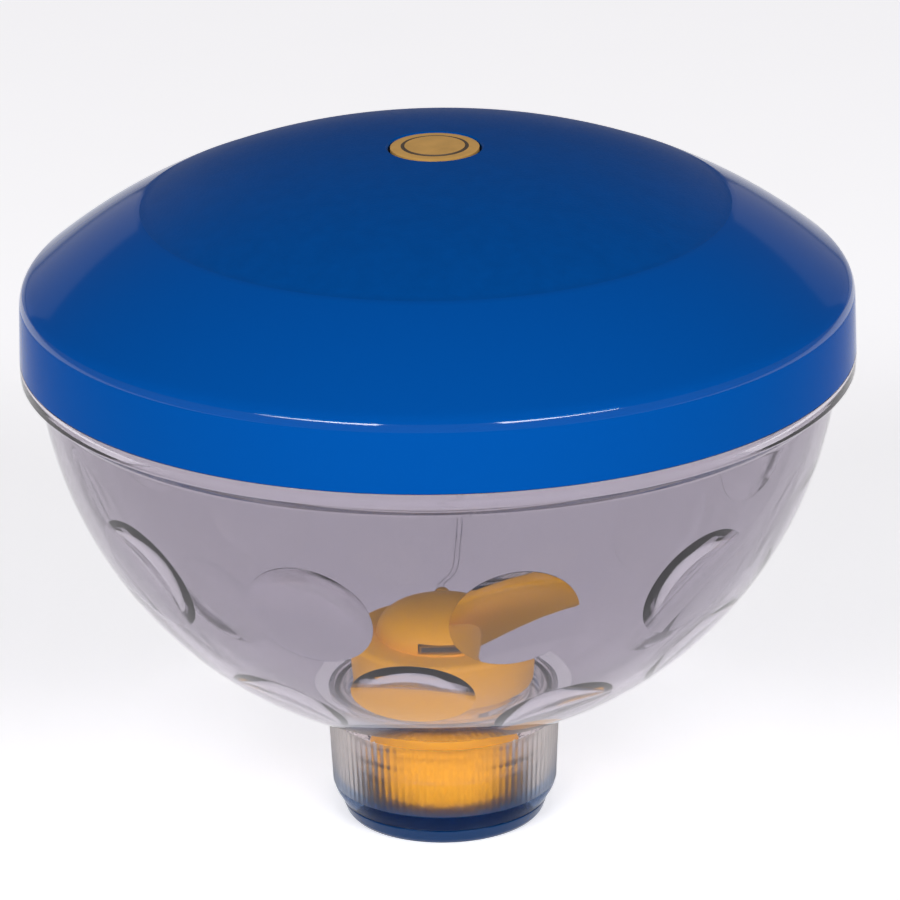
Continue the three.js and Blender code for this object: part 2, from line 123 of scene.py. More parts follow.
def light_table():
    """White acrylic lit from behind, which keeps the background white all over."""
    material = plastic("light_table", (0.85, 0.85, 0.86), 0.6, grain=(30, 0.02), speckle=0.01)
    shader = material.node_tree.nodes["Principled BSDF"]
    shader.inputs["Emission Color"].default_value = (1, 0.99, 1, 1)
    shader.inputs["Emission Strength"].default_value = FLOOR_GLOW
    return material


def make_stage():
    bpy.ops.mesh.primitive_plane_add(size=FLOOR_SIZE)
    floor = bpy.context.object
    floor.name = "floor"
    floor.data.materials.append(light_table())
    world = bpy.data.worlds.new("studio")
    bpy.context.scene.world = world
    world.use_nodes = True
    background = world.node_tree.nodes["Background"]
    background.inputs["Color"].default_value = ROOM_COLOUR
    background.inputs["Strength"].default_value = ROOM_STRENGTH
    for name, settings in LAMPS.items():
        make_lamp(name, *settings)
    bpy.context.scene.view_settings.view_transform = "Standard"


# ---------------------------------------------------------------- materials

FLOW_SCALE, FLOW_DEPTH = 22, 0.06      # the slow waves of moulded clear plastic


def new_material(name):
    material = bpy.data.materials.new(name)
    material.use_nodes = True
    tree = material.node_tree
    return material, tree, tree.nodes["Principled BSDF"]


def noise(tree, scale, detail=3.0):
    node = tree.nodes.new("ShaderNodeTexNoise")
    node.inputs["Scale"].default_value = scale
    node.inputs["Detail"].default_value = detail
    place_on = tree.nodes.new("ShaderNodeTexCoord").outputs["Object"]
    tree.links.new(place_on, node.inputs["Vector"])
    return node.outputs["Fac"]


def mapped(tree, value, low, high):
    node = tree.nodes.new("ShaderNodeMapRange")
    node.inputs["To Min"].default_value, node.inputs["To Max"].default_value = low, high
    tree.links.new(value, node.inputs["Value"])
    return node.outputs["Result"]


def bumped(tree, shader, height, distance):
    node = tree.nodes.new("ShaderNodeBump")
    node.inputs["Distance"].default_value = distance * MM
    node.inputs["Strength"].default_value = 1.0
    tree.links.new(height, node.inputs["Height"])
    tree.links.new(node.outputs["Normal"], shader.inputs["Normal"])


def plastic(name, colour, roughness, grain=(900, 0.01), speckle=0.03, metallic=0.0, coat=0.0, ior=1.45,
            gleam=(1, 1, 1)):
    """Moulded plastic, rubber or paint. grain is the scale and the depth in mm of its surface; speckle how much
    its colour varies; gleam the tint of what it reflects face on."""
    material, tree, shader = new_material(name)
    shader.inputs["Metallic"].default_value = metallic
    shader.inputs["IOR"].default_value = ior
    shader.inputs["Coat Weight"].default_value = coat
    shader.inputs["Specular Tint"].default_value = (*gleam, 1)
    mix = tree.nodes.new("ShaderNodeMix")
    mix.data_type = "RGBA"
    mix.inputs["A"].default_value = (*[c * (1 - speckle) for c in colour], 1)
    mix.inputs["B"].default_value = (*[min(c * (1 + speckle), 1) for c in colour], 1)
    tree.links.new(noise(tree, grain[0] / 6), mix.inputs["Factor"])
    tree.links.new(mix.outputs["Result"], shader.inputs["Base Color"])
    fine = noise(tree, grain[0])
    tree.links.new(mapped(tree, fine, roughness * 0.85, min(roughness * 1.15, 1)), shader.inputs["Roughness"])
    bumped(tree, shader, fine, grain[1])
    return material


def clear_plastic(name, tint, lamp_tint, roughness=0.03, ior=1.5, clearness=1.0):
    """Clear moulded plastic. Lamps shine through it, tinted by lamp_tint, so that what is inside is lit."""
    material, tree, shader = new_material(name)
    shader.inputs["Base Color"].default_value = (*tint, 1)
    shader.inputs["Transmission Weight"].default_value = clearness
    shader.inputs["IOR"].default_value = ior
    flow = noise(tree, FLOW_SCALE)
    tree.links.new(mapped(tree, flow, roughness * 0.4, roughness), shader.inputs["Roughness"])
    bumped(tree, shader, flow, FLOW_DEPTH)
    through = tree.nodes.new("ShaderNodeBsdfTransparent")
    through.inputs["Color"].default_value = (*lamp_tint, 1)
    path = tree.nodes.new("ShaderNodeLightPath")
    mix = tree.nodes.new("ShaderNodeMixShader")
    tree.links.new(path.outputs["Is Shadow Ray"], mix.inputs["Fac"])
    tree.links.new(shader.outputs["BSDF"], mix.inputs[1])
    tree.links.new(through.outputs["BSDF"], mix.inputs[2])
    tree.links.new(mix.outputs["Shader"], tree.nodes["Material Output"].inputs["Surface"])
    return material


# ---------------------------------------------------------------- mesh helpers

def rounded(corners, steps=6, closed=True):
    """(r, z) points of a profile. A corner given as (r, z, radius) is filleted."""
    points, count = [], len(corners)
    for i, corner in enumerate(corners):
        here = Vector(corner[:2])
        radius = corner[2] if len(corner) > 2 else 0
        inner = 0 < i < count - 1 or closed
        if not radius or not inner:
            points.append(tuple(here))
            continue
        to_last = (Vector(corners[i - 1][:2]) - here).normalized()
        to_next = (Vector(corners[(i + 1) % count][:2]) - here).normalized()
        half = to_last.angle(to_next) / 2
        back = radius / math.tan(half)
        centre = here + (to_last + to_next).normalized() * radius / math.sin(half)
        start, end = here + to_last * back - centre, here + to_next * back - centre
        turn = start.angle_signed(end)
        for k in range(steps + 1):
            angle = -turn * k / steps
            c, s = math.cos(angle), math.sin(angle)
            points.append((centre.x + start.x * c - start.y * s, centre.y + start.x * s + start.y * c))
    return points


def revolve(profile, facets=FINE, wave=None):
    """A bmesh turned from (r, z) points. A profile that starts and ends on the axis is closed by it, any other
    is closed on itself. wave(angle, r, z) gives a point's own radius."""
    bm = bmesh.new()
    rings = []
    for r, z in profile:
        if r < 1e-6:
            rings.append([bm.verts.new((0, 0, z))])
            continue
        ring = []
        for i in range(facets):
            angle = 2 * math.pi * i / facets
            own = wave(angle, r, z) if wave else r
            ring.append(bm.verts.new((own * math.sin(angle), -own * math.cos(angle), z)))
        rings.append(ring)
    pairs = list(zip(rings, rings[1:]))
    if profile[0][0] >= 1e-6:
        pairs.append((rings[-1], rings[0]))
    for a, b in pairs:
        for i in range(facets):
            j = (i + 1) % facets
            if len(a) == 1 and len(b) == 1:
                continue
            if len(a) == 1:
                bm.faces.new((a[0], b[j], b[i]))
            elif len(b) == 1:
                bm.faces.new((a[i], a[j], b[0]))
            else:
                bm.faces.new((a[i], a[j], b[j], b[i]))
    bmesh.ops.recalc_face_normals(bm, faces=bm.faces)
    return bm


def smooth(bm, sharp_angle=32):
    limit = math.radians(sharp_angle)
    for face in bm.faces:
        face.smooth = True
    for edge in bm.edges:
        edge.smooth = not (len(edge.link_faces) == 2 and edge.calc_face_angle(0) > limit)


def to_object(bm, name, material, sharp_angle=32):
    """A mesh object in metres from a bmesh in millimetres."""
    smooth(bm, sharp_angle)
    bmesh.ops.scale(bm, vec=(MM, MM, MM), verts=bm.verts)
    mesh = bpy.data.meshes.new(name)
    bm.to_mesh(mesh)
    bm.free()
    for m in material if isinstance(material, (list, tuple)) else [material]:
        mesh.materials.append(m)
    obj = bpy.data.objects.new(name, mesh)
    bpy.context.scene.collection.objects.link(obj)
    return obj


def boolean(obj, other, operation):
    """Joins other to obj or cuts it away, and deletes other."""
    modifier = obj.modifiers.new("boolean", "BOOLEAN")
    modifier.operation, modifier.object, modifier.solver = operation, other, "EXACT"
    graph = bpy.context.evaluated_depsgraph_get()
    mesh = bpy.data.meshes.new_from_object(obj.evaluated_get(graph), depsgraph=graph)
    obj.modifiers.clear()
    obj.data = mesh
    bpy.data.objects.remove(other)


def resharpen(obj, angle=18):
    """Marks the smooth and the sharp edges again, after a boolean."""
    bm = bmesh.new()
    bm.from_mesh(obj.data)
    smooth(bm, angle)
    bm.to_mesh(obj.data)
    bm.free()


def box(size, at, bevel=0.15):
    """A block with softened edges, as a bmesh."""
    bm = bmesh.new()
    bmesh.ops.create_cube(bm, size=1)
    bmesh.ops.scale(bm, vec=size, verts=bm.verts)
    if bevel:
        bmesh.ops.bevel(bm, geom=bm.edges[:], offset=bevel, segments=2, affect="EDGES", profile=0.5)
    bmesh.ops.translate(bm, vec=at, verts=bm.verts)
    return bm


def turned(corners, at=(0, 0, 0), facets=SMALL, closed=False):
    """A small turned piece, as a bmesh at a place."""
    bm = revolve(rounded(corners, closed=closed), facets)
    bmesh.ops.translate(bm, verts=bm.verts, vec=at)
    return bm


def sweep(path, radius, sides=12):
    """A round rod along a list of points, as a bmesh."""
    bm = bmesh.new()
    rings, side = [], None
    for i, point in enumerate(path):
        along = (path[min(i + 1, len(path) - 1)] - path[max(i - 1, 0)]).normalized()
        side = side or along.orthogonal()
        side = (side - along * side.dot(along)).normalized()
        up = along.cross(side)
        turns = [2 * math.pi * k / sides for k in range(sides)]
        rings.append([bm.verts.new(point + (side * math.cos(t) + up * math.sin(t)) * radius) for t in turns])
    for a, b in zip(rings, rings[1:]):
        for i in range(sides):
            j = (i + 1) % sides
            bm.faces.new((a[i], a[j], b[j], b[i]))
    bm.faces.new(rings[0][::-1])
    bm.faces.new(rings[-1])
    bmesh.ops.recalc_face_normals(bm, faces=bm.faces)
    return bm


def curve_through(points, steps_each=8):
    """Points of a smooth curve (Catmull-Rom) through a list of points."""
    ends = [points[0] * 2 - points[1]] + points + [points[-1] * 2 - points[-2]]
    out = []
    for a, b, c, d in zip(ends, ends[1:], ends[2:], ends[3:]):
        for k in range(steps_each):
            t = k / steps_each
            out.append(0.5 * (2 * b + (c - a) * t + (2 * a - 5 * b + 4 * c - d) * t ** 2
                              + (3 * b - a - 3 * c + d) * t ** 3))
    return out + [points[-1]]


def assemble(name, parts, body, node):
    """One finished piece from (bmesh, material) parts."""
    whole, materials = bmesh.new(), []
    for bm, material in parts:
        if material not in materials:
            materials.append(material)
        for face in bm.faces:
            face.material_index = materials.index(material)
        mesh = bpy.data.meshes.new("part")
        bm.to_mesh(mesh)
        bm.free()
        whole.from_mesh(mesh)
        bpy.data.meshes.remove(mesh)
    place(to_object(whole, name, materials), body, node)


def make_round(name, corners, material, body, node, closed=False):
    """One finished turned piece from its profile's corners."""
    bm = revolve(rounded(corners, closed=closed))
    return place(to_object(bm, name, material), body, node)


def place(obj, body, node):
    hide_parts(node)
    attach(obj, body)
    return obj


def spot(azimuth, r, z):
    """The point at an azimuth in degrees, a distance from the axis and a height."""
    a = math.radians(azimuth)
    return Vector((r * math.sin(a), -r * math.cos(a), z))


def steps(first, last, count):
    """Evenly spaced numbers from first to last."""
    return [first + (last - first) * i / count for i in range(count + 1)]


# ---------------------------------------------------------------- blue cover

GAP = 0.3                    # between parts that don't touch
HOLE_R, HOLE_CHAMFER = 11.2, 0.45      # for the button
DISC_R = 70.5                # the textured middle
DISC_STEP = 0.12
SKIRT_WALL = 2.4
DOME_WALL = 2.6
LEDGE_Z = 132.1
LEDGE_R = 94.0
GUIDE_R, GUIDE_BORE_R = 15.8, 13.0
GUIDE_BOTTOM, LIP_BOTTOM = 161.2, 167.1
DOME_R = 97.6                # the dome's edge, where the shoulder starts
SHOULDER_CORNER = (99.75, 136.2, 6.5)
# Between these heights the shoulder reflects more than the rest of the cover: the band of a painted highlight.
SHOULDER_LOW, SHOULDER_HIGH = 134.5, 136.5
SHOULDER_R = 98              # what lies further out is shoulder or skirt
COVER_GLOSS = (0.0006, 0.076, 0.35)
COVER_MATT = (0.0003, 0.068, 0.305)
BLUE_GLEAM = (0.1, 0.6, 1.0)
BLUE_GRAIN = (40, 0.006)
BOARD_SCREW_AZIMUTHS = (30, 150, 270)
BOARD_SCREW_R = 27.0
BOSS_R, BOARD_HOLE_R = 3.2, 1.6


def dome_z(r):
    """The height of the cover's outside."""
    share = r / 100
    return 170.5 - 24.37 * share ** 2 - 9.71 * share ** 4


def make_cover():
    edge, bottom = COVER_HIGH.x, COVER_LOW.z
    disc = [(r, dome_z(r) - DISC_STEP) for r in steps(HOLE_R + HOLE_CHAMFER, DISC_R, 30)]
    gloss = [(r, dome_z(r)) for r in steps(DISC_R + 0.4, DOME_R, 26)]
    top = [(HOLE_R, dome_z(HOLE_R) - DISC_STEP - HOLE_CHAMFER)] + disc + gloss
    shoulder = rounded([gloss[-1], SHOULDER_CORNER, (edge, bottom, 0.35),
                        (edge - SKIRT_WALL, bottom, 0.5), (edge - SKIRT_WALL, LEDGE_Z), (LEDGE_R, LEDGE_Z)],
                       steps=10, closed=False)
    under = [(r, dome_z(r) - DOME_WALL) for r in steps(LEDGE_R, GUIDE_R, 24)]
    guide = [(GUIDE_R, GUIDE_BOTTOM), (GUIDE_BORE_R, GUIDE_BOTTOM), (GUIDE_BORE_R, LIP_BOTTOM),
             (HOLE_R, LIP_BOTTOM)]
    bm = revolve(top + shoulder[1:] + under + guide, SMOOTHEST)
    textured, glint_band, skirt = 1, 2, 3
    for face in bm.faces:
        centre = face.calc_center_median()
        r = centre.to_2d().length
        if r > SHOULDER_R and centre.z < SHOULDER_LOW:
            face.material_index = skirt
        elif r > SHOULDER_R and centre.z < SHOULDER_HIGH:
            face.material_index = glint_band
        elif r < DISC_R and centre.z > dome_z(r) - 0.5:
            face.material_index = textured
    gloss_blue = plastic("cover_gloss_blue", COVER_GLOSS, 0.10, grain=BLUE_GRAIN, speckle=0.01, ior=1.12,
                         gleam=BLUE_GLEAM)
    matt_blue = plastic("cover_textured_blue", COVER_MATT, 0.42, grain=(1500, 0.05), speckle=0.10, ior=1.12,
                        gleam=BLUE_GLEAM)
    # The same plastic as the dome, made to reflect more in this band only, so that the softboxes' highlight shows
    # there: a painted highlight.
    glint_blue = plastic("cover_highlight_band", COVER_GLOSS, 0.07, grain=BLUE_GRAIN, speckle=0.01, ior=1.5)
    skirt_blue = plastic("cover_skirt_blue", COVER_GLOSS, 0.12, grain=BLUE_GRAIN, speckle=0.01, ior=1.06,
                         gleam=BLUE_GLEAM)
    cover = to_object(bm, "cover_shell", [gloss_blue, matt_blue, glint_blue, skirt_blue])
    for azimuth in BOARD_SCREW_AZIMUTHS:
        foot, head = BOARD_HIGH.z + GAP, dome_z(BOARD_SCREW_R) - 1.5
        boss = turned([(0, foot), (BOSS_R, foot, 0.3), (BOSS_R, head), (0, head)],
                      spot(azimuth, BOARD_SCREW_R, 0))
        boolean(cover, to_object(boss, "boss", []), "UNION")
        hole = turned([(0, foot - 1), (BOARD_HOLE_R, foot - 1), (BOARD_HOLE_R, foot + 8), (0, foot + 8)],
                      spot(azimuth, BOARD_SCREW_R, 0))
        boolean(cover, to_object(hole, "hole", []), "DIFFERENCE")
    resharpen(cover, 32)
    place(cover, "hull", "top_cover")


# ---------------------------------------------------------------- clear bowl

BOWL_CENTRE_Z = 112.7
BOWL_LAST_ANGLE = 68.0
BOWL_REACH = 88.4            # from the centre to the bowl's outside, at its foot
BOWL_FLARE = 7.3             # more of it at the rim
BOWL_WALL = 2.6
LENS_RISE = 1.25             # of a lens above the plane of its edge
LENS_ROOT, LENS_ROOT_EDGE = 2.6, 1.6   # how deep a lens reaches into the wall, in its middle and near its edge
LENS_COUNT = 11
LENS_PITCH = 360 / LENS_COUNT
UPPER_LENS = {"z": 81.2, "first": 11.4, "radius": 15.2}
LOWER_LENS = {"z": (56.2, 46.0), "first": -6.0, "radius": 14.4}
NECK_TOP, FLANGE_Z = 30.3, 113.6       # between them is the bowl proper
SCREW_AZIMUTHS = (60, 180, 300)
SCREW_PITCH_R = 19.9
SCREW_HOLE_R = 1.35


def bowl_point(angle, inset=0.0):
    """A point of the bowl's outside, at an angle in degrees below its rim, and its normal. inset moves the point
    inwards along it."""
    share = 1 - angle / BOWL_LAST_ANGLE
    reach = BOWL_REACH + BOWL_FLARE * share ** 2
    slope = -2 * BOWL_FLARE * share / math.radians(BOWL_LAST_ANGLE)
    a = math.radians(angle)
    along = Vector((slope * math.cos(a) - reach * math.sin(a),
                    -slope * math.sin(a) - reach * math.cos(a))).normalized()
    normal = Vector((-along.y, along.x))
    point = Vector((reach * math.cos(a), BOWL_CENTRE_Z - reach * math.sin(a)))
    return point - normal * inset, normal


def angle_at(z):
    """The angle below the rim at which the bowl's outside is at a height."""
    low, high = 0.0, BOWL_LAST_ANGLE
    for _ in range(30):
        middle = (low + high) / 2
        low, high = (middle, high) if bowl_point(middle)[0].y > z else (low, middle)
    return low


def make_lens(z, azimuth, lens_r):
    """A round convex lens on the inside of the bowl's wall, as a closed cap with its root in the wall."""
    radius = (lens_r ** 2 + LENS_RISE ** 2) / (2 * LENS_RISE)
    open_angle = math.asin(lens_r / radius)
    cap = [(radius * math.sin(a), radius - LENS_RISE - radius * math.cos(a)) for a in steps(0, open_angle, 14)]
    profile = [(0, -LENS_RISE)] + cap[1:-1] + [(lens_r, 0), (lens_r - 0.5, LENS_ROOT_EDGE), (0, LENS_ROOT)]
    bm = revolve(profile, 96)
    hollow = lens_r ** 2 / (2 * BOWL_REACH)      # how far the wall curves away under the lens
    (r, height), normal = bowl_point(angle_at(z), BOWL_WALL + hollow)
    turn = Vector((0, -normal.x, normal.y)).to_track_quat("Z", "Y").to_matrix().to_4x4()
    move = Matrix.Translation((0, -r, height))
    spin = Matrix.Rotation(math.radians(azimuth), 4, "Z")
    bmesh.ops.transform(bm, matrix=spin @ move @ turn, verts=bm.verts)
    return bm


def lens_places():
    """(height, azimuth, radius) of every lens. The lower ones stand alternately higher and lower."""
    half = LENS_COUNT // 2
    for i in range(-half, half + 1):
        yield UPPER_LENS["z"], UPPER_LENS["first"] + LENS_PITCH * i, UPPER_LENS["radius"]
        yield LOWER_LENS["z"][i % 2], LOWER_LENS["first"] + LENS_PITCH * i, LOWER_LENS["radius"]


def screw_holes(bottom, top):
    """The cutter for the three barrel screws, between two heights."""
    whole = bmesh.new()
    for azimuth in SCREW_AZIMUTHS:
        mesh = bpy.data.meshes.new("hole")
        hole = turned([(0, bottom), (SCREW_HOLE_R, bottom), (SCREW_HOLE_R, top), (0, top)],
                      spot(azimuth, SCREW_PITCH_R, 0))
        hole.to_mesh(mesh)
        hole.free()
        whole.from_mesh(mesh)
    return to_object(whole, "screw_holes", [])


def make_bowl(inner_clear, tinted_clear, rim_clear, neck_clear):
    outside = [tuple(bowl_point(a)[0]) for a in steps(BOWL_LAST_ANGLE, 0, 60)]
    inside = [tuple(bowl_point(a, BOWL_WALL)[0]) for a in steps(0, BOWL_LAST_ANGLE - 2, 60)]
    rim = rounded([outside[-1], (96.1, 113.4, 0.6), (100.2, 116.5, 0.7), (100.2, 119.94, 0.1), (97.2, 119.94),
                   (97.2, 129.5, 0.4), (94.7, 129.5, 0.4), (94.7, 117.0, 3.0), inside[0]], closed=False)
    root = rounded([inside[-1], (31, 32.9, 1.5), (18, 32.9, 0.3), (18, 30.4, 0.3), (22, 30.4, 0.6),
                    (22, 15.7, 0.3), (24.6, 15.7, 0.5), (24.6, 17.8), (25.2, 18.4, 0.2), (25.2, 19.0, 0.2),
                    (24.6, 19.6), (24.6, 22.2), (25.2, 22.8, 0.2), (25.2, 23.4, 0.2), (24.6, 24.0),
                    (24.6, 30.4, 0.5), (32.5, 30.4, 0.4), outside[0]], closed=False)
    bm = revolve(outside + rim[1:-1] + inside + root[1:-1], SMOOTHEST)
    outer, flange, neck = 1, 2, 3
    for face in bm.faces:
        centre = face.calc_center_median()
        if centre.z > FLANGE_Z:
            face.material_index = flange
        elif centre.z < NECK_TOP:
            face.material_index = neck
        elif bowl_point(angle_at(centre.z))[0].x - centre.to_2d().length < 1:
            face.material_index = outer
    bowl = to_object(bm, "bowl_shell", [inner_clear, tinted_clear, rim_clear, neck_clear])
    lenses = bmesh.new()
    for z, azimuth, lens_r in lens_places():
        cap = make_lens(z, azimuth, lens_r)
        mesh = bpy.data.meshes.new("cap")
        cap.to_mesh(mesh)
        cap.free()
        lenses.from_mesh(mesh)
    boolean(bowl, to_object(lenses, "lenses", []), "UNION")
    boolean(bowl, screw_holes(bottom=29, top=35), "DIFFERENCE")
    resharpen(bowl)
    place(bowl, "hull", "clear_bowl")


# ---------------------------------------------------------------- battery cup

RIB_COUNT = 96
RIB_H = 0.2
RIB_BOTTOM, RIB_TOP = 8.4, 26.5
WALL_BOTTOM_R, WALL_SPREAD, WALL_HEIGHT = 27.4, 0.95, 18.8     # of the cup's ribbed wall
WALL_STEPS = 24
BASE_R, BASE_WALL_R, BASE_BORE_R = 25.3, 24.3, 22.6
BASE_FLOOR, BASE_TOP = 1.8, 7.8


def make_cup(smooth_clear, ribbed_clear, shaded_foot_clear):
    bottom = CUP_LOW.z

    def ribbed(angle, r, z):
        """The wall's radius, with its ribs fading out at both ends."""
        if not RIB_BOTTOM < z < RIB_TOP or r < 26.8:
            return r
        fade = min(1, (z - RIB_BOTTOM) / 0.9, (RIB_TOP - z) / 0.6)
        return r - RIB_H * fade * (0.5 - 0.5 * math.cos(RIB_COUNT * angle)) ** 1.5

    wall = [(WALL_BOTTOM_R + WALL_SPREAD * k / WALL_STEPS, RIB_BOTTOM + WALL_HEIGHT * k / WALL_STEPS)
            for k in range(WALL_STEPS + 1)]
    foot = rounded([(25.4, bottom, 0.1), (26.2, 5.4), (27.0, 6.9), wall[0]], closed=False)
    rim = rounded([wall[-1], (28.5, 27.6), (28.5, 30.1, 0.4), (27.2, 30.1, 0.2), (27.2, 28.2, 0.2),
                   (25.7, 28.2, 0.2), (BASE_WALL_R + GAP, bottom)], closed=False)
    bm = revolve(foot + wall[1:-1] + rim, RIB_COUNT * 8, ribbed)
    # The faces below the ribs take the foot's dark navy tint, which is painted shade over the blue foot under it.
    ribbed_part, shaded_foot_part = 1, 2
    for face in bm.faces:
        centre = face.calc_center_median()
        if centre.z < RIB_BOTTOM:
            face.material_index = shaded_foot_part
        elif centre.z < RIB_TOP and centre.to_2d().length > 26.0:
            face.material_index = ribbed_part
    cup = to_object(bm, "cup_shell", [smooth_clear, ribbed_clear, shaded_foot_clear], sharp_angle=50)
    place(cup, "battery_cup", "battery_cup")


def make_cup_base(blue):
    shelf = CUP_LOW.z - GAP
    corners = [(0, 0.25), (20.5, 0.25), (20.8, 0), (23.5, 0, 0.6), (24.3, 1.0, 1.5), (24.8, 2.4, 2.0),
               (BASE_R, shelf, 0.2), (BASE_WALL_R, shelf), (BASE_WALL_R, BASE_TOP, 0.4),
               (BASE_BORE_R, BASE_TOP, 0.4), (BASE_BORE_R, BASE_FLOOR, 0.6), (0, BASE_FLOOR)]
    make_round("cup_foot", corners, blue, "battery_cup", "cup_base")


def make_ballast(navy):
    low, high = low_high("ballast_ring")
    inner, outer = 18.1, high.x
    corners = [(inner, low.z, 0.3), (outer, low.z, 0.5), (outer, high.z, 0.8), (inner, high.z, 0.5)]
    make_round("ballast_mass", corners, navy, "battery_cup", "ballast_ring",
               closed=True)


def make_o_ring(rubber):
    low, high = low_high("cup_o_ring")
    section = (high.z - low.z) / 2
    centre = high.x - section
    turns = [2 * math.pi * k / 20 for k in range(20)]
    profile = [(centre + section * math.cos(t), low.z + section * (1 + math.sin(t))) for t in turns]
    place(to_object(revolve(profile), "o_ring", rubber), "cup_seal", "cup_o_ring")


# ---------------------------------------------------------------- battery barrel

DRUM_BASE_R, DRUM_R = 22.2, 23.2
DRUM_BOTTOM, DRUM_TOP = 33.2, 45.5
NECK_BARREL_R = 17.5
UPPER_BARREL_R = 16.1
BORE_R = 14.9
SLOT_SIZE, SLOT_Z = (12, 6, 2.4), 47.2
PLUG_Y, PLUG_Z = 16.1, 48.2            # where the wires leave
WIRE_HOLE_R = 1.3


def barrel_dome(r, height, count=16):
    """The barrel's domed top from its side up to its apex, a superellipse."""
    shares = [math.sin(math.pi / 2 * (1 - i / count)) for i in range(count + 1)]
    return [(r * s, DRUM_TOP + height * (1 - s ** 2.6) ** (1 / 2.6)) for s in shares]


def make_barrel(material):
    apex, low = BARREL_HIGH.z, BARREL_LOW.z
    inner_apex = apex - 1.0
    drum = rounded([(NECK_BARREL_R, low, 0.3), (NECK_BARREL_R, DRUM_BOTTOM), (DRUM_BASE_R, DRUM_BOTTOM, 0.5),
                    (DRUM_R, DRUM_TOP, 1.6), (UPPER_BARREL_R, DRUM_TOP)], closed=False)
    outer = barrel_dome(UPPER_BARREL_R, apex - DRUM_TOP)
    inner = barrel_dome(BORE_R, inner_apex - DRUM_TOP)[::-1]
    profile = [(0, apex)] + outer[-2::-1] + drum[::-1][1:] + [(BORE_R, low)] + inner[:0:-1]
    barrel = to_object(revolve(profile + [(0, inner_apex)]), "barrel_shell", material)
    boolean(barrel, to_object(box(SLOT_SIZE, (0, -UPPER_BARREL_R, SLOT_Z), 0), "slot", []), "DIFFERENCE")
    hole = revolve([(0, -4), (WIRE_HOLE_R, -4), (WIRE_HOLE_R, 4), (0, 4)], 24)
    bmesh.ops.rotate(hole, verts=hole.verts, cent=(0, 0, 0), matrix=Matrix.Rotation(math.pi / 2, 3, "X"))
    bmesh.ops.translate(hole, verts=hole.verts, vec=(0, PLUG_Y, PLUG_Z))
    boolean(barrel, to_object(hole, "wire_hole", []), "DIFFERENCE")
    boolean(barrel, screw_holes(bottom=32, top=40.2), "DIFFERENCE")
    resharpen(barrel)
    place(barrel, "hull", "battery_barrel")


CAP_RIBS = 24


def make_end_cap(navy):
    low, high = low_high("barrel_end_cap")
    wall = rounded([(0, low.z), (16.5, low.z, 0.3), (NECK_BARREL_R, low.z + 0.8, 0.3),
                    (NECK_BARREL_R, high.z, 0.2), (BORE_R, high.z, 0.2), (BORE_R, low.z + 0.7, 0.2),
                    (0, low.z + 0.7)], closed=False)
    parts = [(revolve(wall), navy)]
    for k in range(CAP_RIBS):
        rib = box((0.8, 0.3, high.z - low.z - 1.4), (0, 0, (high.z + low.z) / 2 + 0.5), 0.08)
        turn = Matrix.Rotation(math.radians(360 / CAP_RIBS * k), 4, "Z") @ Matrix.Translation(
            (0, -NECK_BARREL_R + 0.15, 0))
        bmesh.ops.transform(rib, matrix=turn, verts=rib.verts)
        parts.append((rib, navy))
    assemble("end_cap", parts, "hull", "barrel_end_cap")


def make_membrane(painted_shade_cloth, surround):
    low, high = low_high("vent_membrane")
    middle = (low + high) / 2
    size = high - low
    # The cloth is near-black: painted shade at the foot of the barrel's dome.
    parts = [(box((size.x - 0.6, size.y - 0.3, size.z - 0.5), middle, 0.05), painted_shade_cloth)]
    for side in (-1, 1):
        bar = middle + Vector((0, 0, side * (size.z / 2 - 0.15)))
        parts.append((box((size.x - 0.5, size.y, 0.3), bar, 0.08), surround))
        post = middle + Vector((side * (size.x / 2 - 0.25), 0, 0))
        parts.append((box((0.5, size.y, size.z), post, 0.08), surround))
    assemble("vent_filter", parts, "hull", "vent_membrane")


# ---------------------------------------------------------------- cells, contacts and wires

CELL_R, CAN_R = 5.2, 5.02    # over the sleeve and over the steel
BAND_Z = 31.0                # where the sleeve's coloured band starts
CELL_OFFSET = 7.75
CELL_AZIMUTHS = (45, 135, 225, 315)
PAD_H = 0.05                 # copper on a board
SPRING_R, SPRING_TAPER, SPRING_TURNS = 4.0, 1.5, 2
SPRING_WIRE_R = 0.2


def cell_parts(sleeve, band, steel):
    """A cell standing on its flat end at z = 0, positive end up."""
    can = [(0, 0.25), (3.6, 0.25, 0.2), (4.0, 0.0, 0.15), (4.7, 0.0, 0.3), (CAN_R, 0.6), (CAN_R, 42.7, 0.5),
           (4.4, 43.3, 0.2), (2.3, 43.3, 0.2), (1.9, 43.5, 0.1), (1.9, 44.5, 0.25), (0, 44.5)]
    wrap = [(CAN_R, 0.5), (CELL_R, 0.5, 0.1), (CELL_R, BAND_Z), (CAN_R, BAND_Z)]
    top_wrap = [(CAN_R, BAND_Z), (CELL_R, BAND_Z), (CELL_R, 42.9, 0.3), (4.4, 43.4, 0.05), (4.4, 43.32),
                (CAN_R, 42.8)]
    return [(turned(can), steel), (turned(wrap, closed=True), sleeve), (turned(top_wrap, closed=True), band)]


def make_cells(sleeve, band, steel):
    """The cells stand alternately on their flat end and on their head."""
    for k in range(len(CELL_AZIMUTHS)):
        node = f"aaa_cell_{k + 1}"
        low, high = low_high(node)
        upright = k % 2 == 0
        at = Matrix.Translation(((low.x + high.x) / 2, (low.y + high.y) / 2, low.z if upright else high.z))
        flip = Matrix.Rotation(0 if upright else math.pi, 4, "X")
        parts = cell_parts(sleeve, band, steel)
        for bm, _ in parts:
            bmesh.ops.transform(bm, matrix=at @ flip, verts=bm.verts)
        assemble(f"cell_{k + 1}", parts, "hull", node)


